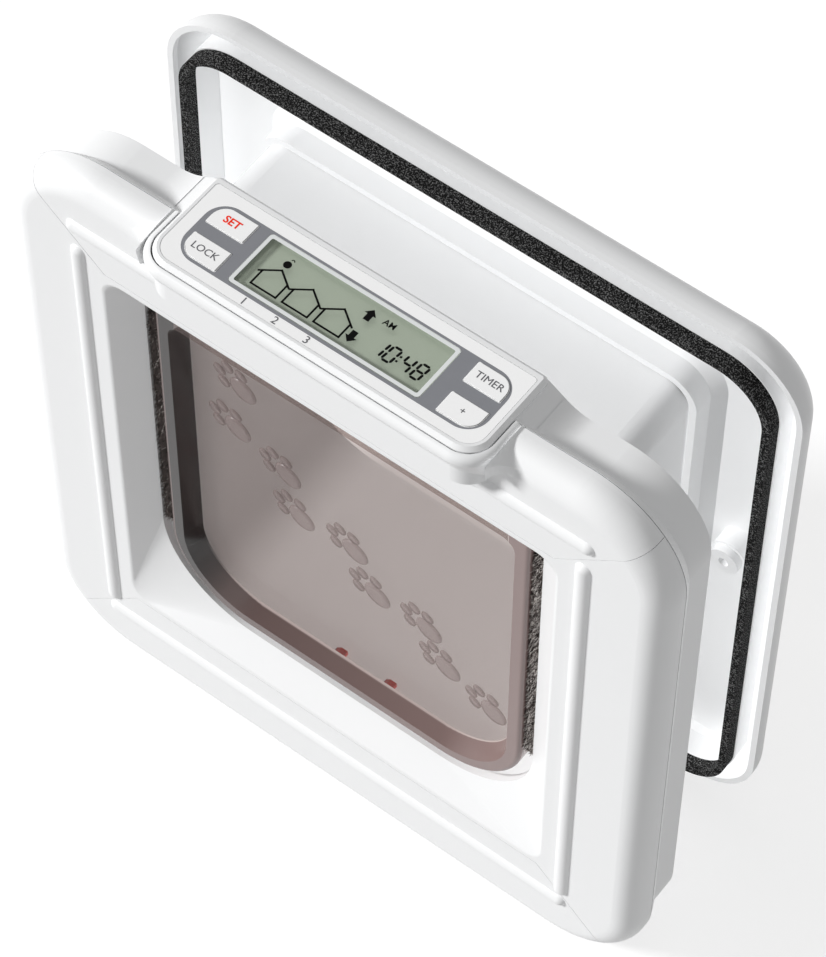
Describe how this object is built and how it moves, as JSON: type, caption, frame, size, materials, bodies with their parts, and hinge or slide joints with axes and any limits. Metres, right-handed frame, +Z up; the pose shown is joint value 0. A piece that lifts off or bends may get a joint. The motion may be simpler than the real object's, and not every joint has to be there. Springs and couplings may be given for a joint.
{
  "type": "cat flap",
  "caption": "Electronic selective cat flap: indoor unit with display panel, smoky swinging flap and telescoping tunnel, and an outdoor frame with a foam seal",
  "frame": {"origin": "midway between the two fixing holes, in the plane where the casing lies against the inside of the door", "axes": "+X to the right as seen from indoors, +Y outdoors through the door, +Z up"},
  "size_m": [0.2304, 0.0919, 0.2467],
  "materials": {
    "white_plastic": "smooth white moulding, satin gloss",
    "panel_plastic": "white printed plate and keys",
    "clear_window": "clear flat pane",
    "display_glass": "grey-green display with dark segments",
    "board": "green printed circuit board",
    "black_plastic": "black switch bodies",
    "screw_steel": "zinc-plated steel",
    "cell_sleeve": "plain dark sleeve over a steel can",
    "contact_steel": "nickel-plated spring steel",
    "copper_winding": "enamelled copper wire",
    "grey_plastic": "grey inner moulding",
    "solenoid": "copper winding on a steel base",
    "red_plastic": "bright red acetal",
    "smoky_plastic": "smoky brown transparent moulding",
    "magnet": "dark ferrite",
    "brush_pile": "dark fuzzy pile on a strip",
    "black_foam": "matte black closed-cell foam"
  },
  "bodies": {
    "casing": {"rear_casing": "white_plastic", "front_bezel": "white_plastic", "bottom_strip": "white_plastic", "tunnel_liner": "white_plastic", "panel_overlay": "panel_plastic", "display_window": "clear_window", "lcd_module": "display_glass", "circuit_board": "board", "tact_switches": "black_plastic", "board_screws": "screw_steel", "battery_cells": "cell_sleeve", "battery_contacts": "contact_steel", "sensor_coil": "copper_winding", "latch_housing": "grey_plastic", "latch_solenoids": "solenoid", "sill_magnet": "magnet", "brush_strip_left": "brush_pile", "brush_strip_right": "brush_pile"},
    "swinging_flap": {"flap": "smoky_plastic", "flap_magnet": "magnet"},
    "outdoor_half": {"outdoor_frame": "white_plastic", "foam_gasket": "black_foam"},
    "battery_cover": {"top_cover": "white_plastic"},
    "pawl_left": {"latch_pawl_left": "red_plastic"},
    "pawl_right": {"latch_pawl_right": "red_plastic"},
    "key_set": {"set_key": "panel_plastic"},
    "key_lock": {"lock_key": "panel_plastic"},
    "key_timer": {"timer_key": "panel_plastic"},
    "key_plus": {"plus_key": "panel_plastic"}
  },
  "joints": [
    {"name": "flap_swing", "type": "hinge", "parent": "casing", "child": "swinging_flap", "pos_m": [0, -0.0163, 0.066], "axis": [1, 0, 0], "range_deg": [-85, 85]},
    {"name": "frame_slide", "type": "slide", "parent": "casing", "child": "outdoor_half", "axis": [0, 1, 0], "range_m": [-0.035, 0.009]},
    {"name": "cover_slide", "type": "slide", "parent": "casing", "child": "battery_cover", "axis": [0, -1, 0], "range_m": [0, 0.03]},
    {"name": "pawl_left_lift", "type": "slide", "parent": "casing", "child": "pawl_left", "axis": [0, 0, 1], "range_m": [0, 0.005]},
    {"name": "pawl_right_lift", "type": "slide", "parent": "casing", "child": "pawl_right", "axis": [0, 0, 1], "range_m": [0, 0.005]},
    {"name": "set_key_press", "type": "slide", "parent": "casing", "child": "key_set", "axis": [0, 0, -1], "range_m": [0, 0.0005], "stiffness_N_per_m": 600},
    {"name": "lock_key_press", "type": "slide", "parent": "casing", "child": "key_lock", "axis": [0, 0, -1], "range_m": [0, 0.0005], "stiffness_N_per_m": 600},
    {"name": "timer_key_press", "type": "slide", "parent": "casing", "child": "key_timer", "axis": [0, 0, -1], "range_m": [0, 0.0005], "stiffness_N_per_m": 600},
    {"name": "plus_key_press", "type": "slide", "parent": "casing", "child": "key_plus", "axis": [0, 0, -1], "range_m": [0, 0.0005], "stiffness_N_per_m": 600}
  ]
}
